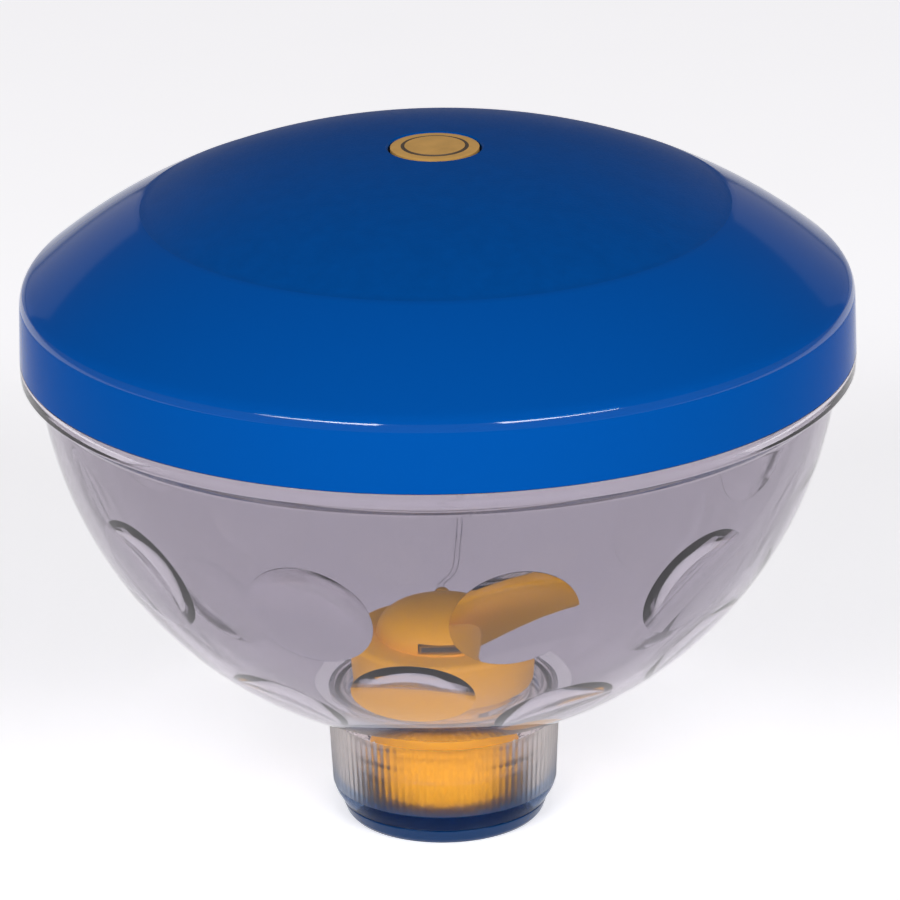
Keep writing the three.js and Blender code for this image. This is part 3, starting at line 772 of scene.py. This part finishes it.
def make_springs(steel):
    for k, azimuth in enumerate(CELL_AZIMUTHS):
        node = f"contact_spring_{k + 1}"
        low, high = low_high(node)
        centre = spot(azimuth, CELL_OFFSET, 0)
        path = []
        for t in steps(0, 1, 96):
            angle, r = SPRING_TURNS * 2 * math.pi * t, SPRING_R - SPRING_TAPER * t
            z = low.z + SPRING_WIRE_R + (high.z - low.z - 2 * SPRING_WIRE_R) * t
            path.append(centre + Vector((r * math.cos(angle), r * math.sin(angle), z)))
        spring = to_object(sweep(path, SPRING_WIRE_R), f"spring_{k + 1}", steel)
        place(spring, "hull", node)


def make_contact_boards(mask, copper):
    for node, name in (("upper_contact_board", "upper_contacts"), ("lower_contact_board", "lower_contacts")):
        low, high = low_high(node)
        r = high.x
        pad_r = min(4.3, r - CELL_OFFSET)
        below = PAD_H if node == "upper_contact_board" else 0
        plate = [(0, low.z + below), (r, low.z + below, 0.1), (r, high.z - PAD_H + below, 0.1),
                 (0, high.z - PAD_H + below)]
        parts = [(turned(plate, facets=FINE), mask)]
        for azimuth in CELL_AZIMUTHS:
            z = low.z if below else high.z - PAD_H
            pad = [(0, z), (pad_r, z), (pad_r, z + PAD_H), (0, z + PAD_H)]
            parts.append((turned(pad, spot(azimuth, CELL_OFFSET, 0)), copper))
        assemble(name, parts, "hull", node)


WIRE_AZIMUTH = 175.3
WIRE_R, CORE_R = 0.44, 0.07
WIRE_SPREAD = 0.6            # from the route to either wire
WIRE_ROUTE = [               # distance from the axis, height: out to the bowl's back wall, up it and to the board
    (18.1, 48.2), (24, 48.4), (38, 46.5), (52, 48), (63, 55), (71, 64), (77, 74), (82, 87),
    (86, 100), (86, 113), (78, 125), (60, 132), (40, 133), (27, 134.5), (24.2, 138.6),
]


def make_wires(insulation, core):
    for side, node in ((WIRE_SPREAD, "wire_positive"), (-WIRE_SPREAD, "wire_negative")):
        across = spot(WIRE_AZIMUTH + 90, side, 0)
        route = [spot(180 if i < 2 else WIRE_AZIMUTH, r, z) + across for i, (r, z) in enumerate(WIRE_ROUTE)]
        path = curve_through(route)
        assemble(node + "_lead", [(sweep(path, WIRE_R), insulation), (sweep(path, CORE_R, 6), core)],
                 "hull", node)


def make_grommet(rubber):
    inner, outer, end = PLUG_Y - 1.2, PLUG_Y + GAP, PLUG_Y + 1.6
    stem_r, head_r = WIRE_HOLE_R - GAP, WIRE_HOLE_R + 0.8
    corners = [(0, inner), (stem_r, inner, 0.15), (stem_r, outer), (head_r, outer, 0.25), (head_r, end, 0.4),
               (0, end)]
    bm = turned(corners)
    bmesh.ops.rotate(bm, verts=bm.verts, cent=(0, 0, 0), matrix=Matrix.Rotation(-math.pi / 2, 3, "X"))
    bmesh.ops.translate(bm, verts=bm.verts, vec=(0, 0, PLUG_Z))
    place(to_object(bm, "wire_plug", rubber), "hull", "wire_grommet")


# ---------------------------------------------------------------- screws

SCREW_LENGTH = 8
THREAD_PITCH, THREAD_H = 0.7, 0.15
SLOT_TURN, SLOT_TURN_STEP = 20, 37     # degrees: each screw stopped at its own angle


def screw_pattern(head_r, head_h, shank_r, steel):
    """A cross-headed screw pointing up, with its head's underside at z = 0."""
    head = to_object(turned([(0, -head_h), (head_r * 0.72, -head_h, 0.3), (head_r, -head_h * 0.45, 0.3),
                             (head_r, 0, 0.1), (0, 0)]), "head", steel)
    for turn in (0, math.pi / 2):
        slot = box((head_r * 1.25, head_r * 0.24, head_h * 1.1), (0, 0, -head_h), 0)
        bmesh.ops.rotate(slot, verts=slot.verts, cent=(0, 0, 0), matrix=Matrix.Rotation(turn, 3, "Z"))
        boolean(head, to_object(slot, "cross", []), "DIFFERENCE")
    core_r = shank_r - THREAD_H
    thread = [(0, 0), (core_r, 0)]
    for k in range(int((SCREW_LENGTH - 1.2) / THREAD_PITCH)):
        z = 0.4 + k * THREAD_PITCH
        thread += [(core_r, z), (shank_r, z + THREAD_PITCH * 0.35), (core_r, z + THREAD_PITCH * 0.7)]
    thread += [(core_r, SCREW_LENGTH - 0.7), (0, SCREW_LENGTH)]
    shank = to_object(turned(thread, facets=24), "shank", steel)
    boolean(head, shank, "UNION")
    resharpen(head, 28)
    return head


def make_screws(steel):
    first = {"barrel": screw_pattern(1.45, 1.3, 1.0, steel), "board": screw_pattern(2.4, 1.5, 1.2, steel)}
    for kind, azimuths, r in (("barrel", SCREW_AZIMUTHS, SCREW_PITCH_R),
                              ("board", BOARD_SCREW_AZIMUTHS, BOARD_SCREW_R)):
        for k, azimuth in enumerate(azimuths):
            node = f"{kind}_screw_{k + 1}"
            high = low_high(node)[1]
            mesh = first[kind].data.copy()
            bm = bmesh.new()
            bm.from_mesh(mesh)
            move = Matrix.Translation(spot(azimuth, r, high.z - SCREW_LENGTH) * MM)
            turn = Matrix.Rotation(math.radians(SLOT_TURN + SLOT_TURN_STEP * k), 4, "Z")
            bmesh.ops.transform(bm, matrix=move @ turn, verts=bm.verts)
            bm.to_mesh(mesh)
            bm.free()
            screw = bpy.data.objects.new(node + "_driven", mesh)
            bpy.context.scene.collection.objects.link(screw)
            place(screw, "hull", node)
    for pattern in first.values():
        bpy.data.objects.remove(pattern)


# ---------------------------------------------------------------- lamp board

LED_PLACES = ((0, 0), (45, 17), (135, 17), (225, 17), (315, 17))       # azimuth, distance from the axis
LED_LEG_X = 1.27
TRACK_R, TRACK_W, TRACK_H = (20.6, 22.4), 0.8, 0.06


def make_board(mask, copper, solder):
    low, high = BOARD_LOW, BOARD_HIGH
    r = high.x
    under, over = low.z + PAD_H, high.z - PAD_H
    plate = turned([(0, under), (r, under, 0.2), (r, over, 0.2), (0, over)], facets=FINE)
    board = to_object(plate, "board_plate", mask)
    for azimuth in BOARD_SCREW_AZIMUTHS:
        hole = turned([(0, low.z - 1), (BOARD_HOLE_R, low.z - 1), (BOARD_HOLE_R, high.z + 1), (0, high.z + 1)],
                      spot(azimuth, BOARD_SCREW_R, 0))
        boolean(board, to_object(hole, "hole", []), "DIFFERENCE")
    bm = bmesh.new()
    bm.from_mesh(board.data)
    bmesh.ops.scale(bm, vec=(1 / MM, 1 / MM, 1 / MM), verts=bm.verts)
    bpy.data.objects.remove(board)
    parts = [(bm, mask)]
    for azimuth, pitch_r in LED_PLACES:
        if not pitch_r:      # the switch sits over the middle one
            continue
        for side in (-LED_LEG_X, LED_LEG_X):
            at = spot(azimuth, pitch_r, 0) + Vector((side, 0, 0))
            blob = [(0, high.z - 0.06), (0.8, high.z - 0.06), (0.5, high.z, 0.2), (0, high.z)]
            parts.append((turned(blob, at, 16), solder))
    for azimuth in BOARD_SCREW_AZIMUTHS:
        for z in (low.z, over):
            pad = [(BOARD_HOLE_R, z), (3.4, z), (3.4, z + PAD_H), (BOARD_HOLE_R, z + PAD_H)]
            parts.append((turned(pad, spot(azimuth, BOARD_SCREW_R, 0), closed=True), copper))
    for inner in TRACK_R:
        outer, top = inner + TRACK_W, low.z + TRACK_H
        track = [(inner, low.z), (outer, low.z), (outer, top), (inner, top)]
        parts.append((turned(track, facets=FINE, closed=True), copper))
    assemble("lamp_board", parts, "hull", "led_board")


def make_leds(epoxy, chip, silver):
    for k, (azimuth, pitch_r) in enumerate(LED_PLACES):
        node = f"led_{k + 1}"
        low, high = low_high(node)
        at = spot(azimuth, pitch_r, 0)
        lens = [(0, low.z), (1.0, low.z + 0.22), (1.8, low.z + 0.8), (2.3, low.z + 1.6), (2.5, low.z + 2.6),
                (2.5, high.z - 1), (2.9, high.z - 1, 0.1), (2.9, high.z, 0.1), (0, high.z)]
        cup = [(0, high.z - 3.2), (0.5, high.z - 3.2), (1.0, high.z - 4.0), (1.2, high.z - 4.0),
               (1.2, high.z - 2.6), (0.4, high.z - 2.4), (0.4, high.z - 0.2), (0, high.z - 0.2)]
        die = box((0.5, 0.5, 0.25), at + Vector((0, 0, high.z - 3.35)), 0)
        post = box((0.5, 0.4, 3.2), at + Vector((1.7, 0, high.z - 1.9)), 0.05)
        parts = [(turned(lens, at), epoxy), (turned(cup, at), silver), (die, chip), (post, silver)]
        assemble(f"lamp_{k + 1}", parts, "hull", node)


def make_switch(black, steel):
    low, high = low_high("tact_switch")
    body_top = low.z + 3.4
    plunger = [(0, low.z + 2.5), (1.75, low.z + 2.5), (1.75, high.z, 0.25), (0, high.z)]
    parts = [(box((6, 6, 3.0), (0, 0, low.z + 1.5), 0.2), black),
             (box((5.8, 5.8, 0.4), (0, 0, body_top - 0.2), 0.1), steel), (turned(plunger), black)]
    rivet = [(0, body_top - 0.1), (0.45, body_top - 0.1), (0.3, body_top + 0.15), (0, body_top + 0.15)]
    for x in (-2.2, 2.2):
        for y in (-2.2, 2.2):
            parts.append((turned(rivet, (x, y, 0), 16), black))
    assemble("switch_unit", parts, "hull", "tact_switch")


def make_chip(black, steel):
    low, high = low_high("driver_chip")
    middle = (low + high) / 2
    first_pin = [(0, high.z - 0.06), (0.3, high.z - 0.06), (0.3, high.z), (0, high.z)]
    parts = [(box((5, 2.9, 1.3), middle + Vector((0, 0, 0.1)), 0.12), black),
             (turned(first_pin, (middle.x - 1.9, middle.y - 0.9, 0), 16), steel)]
    for side in (-1, 1):
        for k in range(4):
            x = middle.x + (k - 1.5) * 1.2
            parts.append((box((0.42, 0.6, 0.15), (x, middle.y + side * 1.7, low.z + 0.08), 0.03), steel))
            parts.append((box((0.42, 0.15, 0.75), (x, middle.y + side * 1.47, low.z + 0.4), 0.03), steel))
    assemble("driver_package", parts, "hull", "driver_chip")


def make_connector(white, steel):
    low, high = low_high("wire_connector")
    middle = (low + high) / 2
    size = high - low
    plug_h = size.z - 1.0
    parts = [(box((size.x, size.y, 1.2), (middle.x, middle.y, high.z - 0.6), 0.15), white),
             (box((size.x - 0.8, size.y - 0.6, plug_h), (middle.x, middle.y, low.z + plug_h / 2), 0.2), white)]
    for x in (-1.6, 1.6):
        parts.append((box((1.6, 0.25, 3.0), (middle.x + x, low.y + 0.2, middle.z - 0.6), 0.05), steel))
    assemble("plug_housing", parts, "hull", "wire_connector")


# ---------------------------------------------------------------- seals and button

BUTTON_FLANGE_Z = 165.4
BUTTON_R, RING_R, RING_W = 10.6, 7.2, 0.9        # the button, and the ring pressed into it


def make_gasket(rubber):
    low, high = low_high("cover_gasket")
    outer, inner, middle = high.x, high.x - 2.5, (low.z + high.z) / 2
    make_round("flat_seal", [(inner, low.z + 0.3, 0.2), (inner + 0.6, low.z, 0.2), (outer - 0.6, low.z, 0.2),
                             (outer, low.z + 0.3, 0.2), (outer - 0.3, middle, 0.2), (outer, high.z - 0.3, 0.2),
                             (outer - 0.6, high.z, 0.2), (inner + 0.6, high.z, 0.2), (inner, high.z - 0.3, 0.2),
                             (inner + 0.3, middle, 0.2)],
               rubber, "hull", "cover_gasket", closed=True)


def make_button(material, groove):
    top = BUTTON_HIGH.z
    flange_low, flange_high = BUTTON_FLANGE_Z, LIP_BOTTOM - GAP
    stem = rounded([(0, BUTTON_LOW.z), (2.4, BUTTON_LOW.z, 0.3), (2.4, flange_low), (12.5, flange_low, 0.3),
                    (12.5, flange_high, 0.3), (BUTTON_R, flange_high), (BUTTON_R, top - 0.45, 0.4)],
                   closed=False)
    crown = [(r, top - 0.1 - 0.2 * (r / BUTTON_R) ** 2) for r in (10.1, 9.5, 8.6, RING_R + RING_W)]
    mark = [(RING_R + RING_W - 0.12, top - 0.32), (RING_R + 0.12, top - 0.3)]
    middle = [(r, top - 0.1 * (r / RING_R)) for r in (RING_R, 5, 3, 1)]
    bm = revolve(stem + crown + mark + middle + [(0, top)])
    for face in bm.faces:
        centre = face.calc_center_median()
        inside = RING_R - 0.1 < centre.to_2d().length < RING_R + RING_W + 0.1
        face.material_index = int(inside and centre.z > top - 0.5)
    place(to_object(bm, "button_cap", [material, groove]), "button", "button")


def make_boot(silicone):
    """The silicone boot under the button, which folds as the button is pressed; here it is built in one fixed
    shape.
    """
    top = BUTTON_FLANGE_Z - GAP
    low = GUIDE_BOTTOM
    corners = [(3.4, top, 0.2), (3.4, top - 0.8, 0.2), (7.0, low + 1.6, 0.4), (9.8, low + 0.9, 0.2),
               (9.8, low, 0.1), (12.5, low, 0.2), (12.5, low + 1.0, 0.2), (10.6, low + 1.0, 0.2),
               (7.9, low + 2.4, 0.5), (4.6, top, 0.2)]
    boot = make_round("bellows", corners, silicone, "hull", "button_boot", closed=True)
    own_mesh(boot)


def make_retainer(blue):
    low, high = low_high("boot_retainer")
    profile = rounded([(6.0, low.z, 0.2), (7.2, low.z, 0.2), (7.5, low.z + 0.35), (14.0, low.z + 0.35),
                       (14.3, low.z, 0.2), (high.x, low.z, 0.2), (high.x, high.z, 0.2), (6.0, high.z, 0.2)])
    parts = [(revolve(profile), blue)]
    for k in range(6):
        tab = box((0.8, 6.8, 0.3), (0, 0, low.z + 0.25), 0.05)
        turn = Matrix.Rotation(math.radians(60 * k), 4, "Z") @ Matrix.Translation((0, -10.75, 0))
        bmesh.ops.transform(tab, matrix=turn, verts=tab.verts)
        parts.append((tab, blue))
    assemble("boot_clamp", parts, "hull", "boot_retainer")


# ---------------------------------------------------------------- assembly

def main():
    make_camera()
    make_stage()
    clear = clear_plastic("clear_bowl_inside", (0.80, 0.78, 0.81), (0.95, 0.94, 0.95), ior=1.33,
                          clearness=0.99)
    tinted = clear_plastic("clear_bowl_plastic", (0.46, 0.42, 0.485), (0.92, 0.91, 0.92), ior=1.33,
                           clearness=0.99)
    rim_clear = clear_plastic("clear_rim_plastic", (0.76, 0.72, 0.78), (0.96, 0.95, 0.96), ior=1.29,
                               clearness=0.99)
    neck_clear = clear_plastic("clear_neck_plastic", (0.97, 0.95, 0.95), (0.97, 0.96, 0.97), ior=1.25)
    cup_clear = clear_plastic("clear_cup_plastic", (0.90, 0.85, 0.87), (0.96, 0.95, 0.95), ior=1.3)
    ribbed_clear = clear_plastic("ribbed_cup_plastic", (0.63, 0.585, 0.565), (0.96, 0.95, 0.95),
                                 roughness=0.6, ior=1.25, clearness=0.985)
    # The cup's clear foot is tinted dark navy: painted shade over the blue foot under it.
    shaded_foot_clear = clear_plastic("cup_foot_painted_shade", (0.07, 0.11, 0.20), (0.96, 0.95, 0.95), ior=1.12)
    navy = plastic("ballast_coat", (0.006, 0.012, 0.045), 0.4, grain=(300, 0.05))
    dark_blue = plastic("end_cap_blue", (0.006, 0.014, 0.05), 0.4, grain=(600, 0.02))
    rubber = plastic("black_rubber", (0.016, 0.017, 0.02), 0.7, grain=(400, 0.03))
    # The vent cloth is near-black: painted shade at the foot of the barrel's dome.
    dark_vent_cloth = plastic("vent_cloth_painted_shade", (0.05, 0.042, 0.035), 0.9, grain=(3500, 0.1), speckle=0.5)
    silicone = plastic("boot_silicone", (0.62, 0.62, 0.61), 0.55, grain=(300, 0.02))
    steel = plastic("plated_steel", (0.56, 0.57, 0.59), 0.28, grain=(700, 0.01), speckle=0.06, metallic=1.0)
    copper = plastic("tinned_copper", (0.72, 0.45, 0.28), 0.3, grain=(500, 0.01), speckle=0.06, metallic=1.0)
    mask = plastic("white_solder_mask", (0.74, 0.76, 0.73), 0.4, grain=(700, 0.01))
    black = plastic("black_moulding", (0.012, 0.012, 0.013), 0.45, grain=(700, 0.02))
    white = plastic("white_moulding", (0.74, 0.74, 0.70), 0.4, grain=(600, 0.01))
    sleeve = plastic("cell_wrap", (0.03, 0.034, 0.04), 0.25, grain=(300, 0.01), coat=0.3)
    band = plastic("cell_band", (0.42, 0.22, 0.08), 0.28, grain=(300, 0.01), metallic=0.6)
    epoxy = clear_plastic("led_epoxy", (0.97, 0.97, 0.98), (0.95, 0.95, 0.95), ior=1.53)
    amber = plastic("led_die", (0.85, 0.75, 0.15), 0.4, grain=(900, 0.01))
    make_cover()
    make_bowl(clear, tinted, rim_clear, neck_clear)
    make_cup(cup_clear, ribbed_clear, shaded_foot_clear)
    make_barrel(plastic("barrel_yellow", (0.93, 0.43, 0.002), 0.45, grain=(500, 0.02), speckle=0.05, ior=1.3))
    make_button(plastic("button_gold", (0.82, 0.46, 0.12), 0.42, grain=(1500, 0.02), speckle=0.2, metallic=0.2),
                plastic("button_mark", (0.10, 0.07, 0.045), 0.6, grain=(900, 0.02)))
    make_ballast(navy)
    # The foot is the cover's blue darkened to about a third: painted shade.
    make_cup_base(plastic("foot_blue_painted_shade", (0.001, 0.030, 0.11), 0.2, grain=(60, 0.01), speckle=0.02, ior=1.3))
    make_o_ring(rubber)
    make_end_cap(dark_blue)
    make_membrane(dark_vent_cloth, plastic("vent_frame", (0.30, 0.14, 0.01), 0.6, grain=(500, 0.03)))
    make_cells(sleeve, band, steel)
    make_springs(steel)
    make_contact_boards(mask, copper)
    make_wires(clear_plastic("wire_insulation", (0.985, 0.985, 0.985), (0.98, 0.98, 0.98), ior=1.04), steel)
    make_grommet(plastic("amber_rubber", (0.60, 0.30, 0.01), 0.6, grain=(400, 0.03)))
    make_screws(steel)
    make_board(mask, copper, steel)
    make_leds(epoxy, amber, steel)
    make_switch(black, steel)
    make_chip(black, steel)
    make_connector(white, steel)
    make_gasket(rubber)
    make_boot(silicone)
    make_retainer(plastic("clamp_blue", (0.0006, 0.06, 0.27), 0.35, grain=(500, 0.02)))


main()
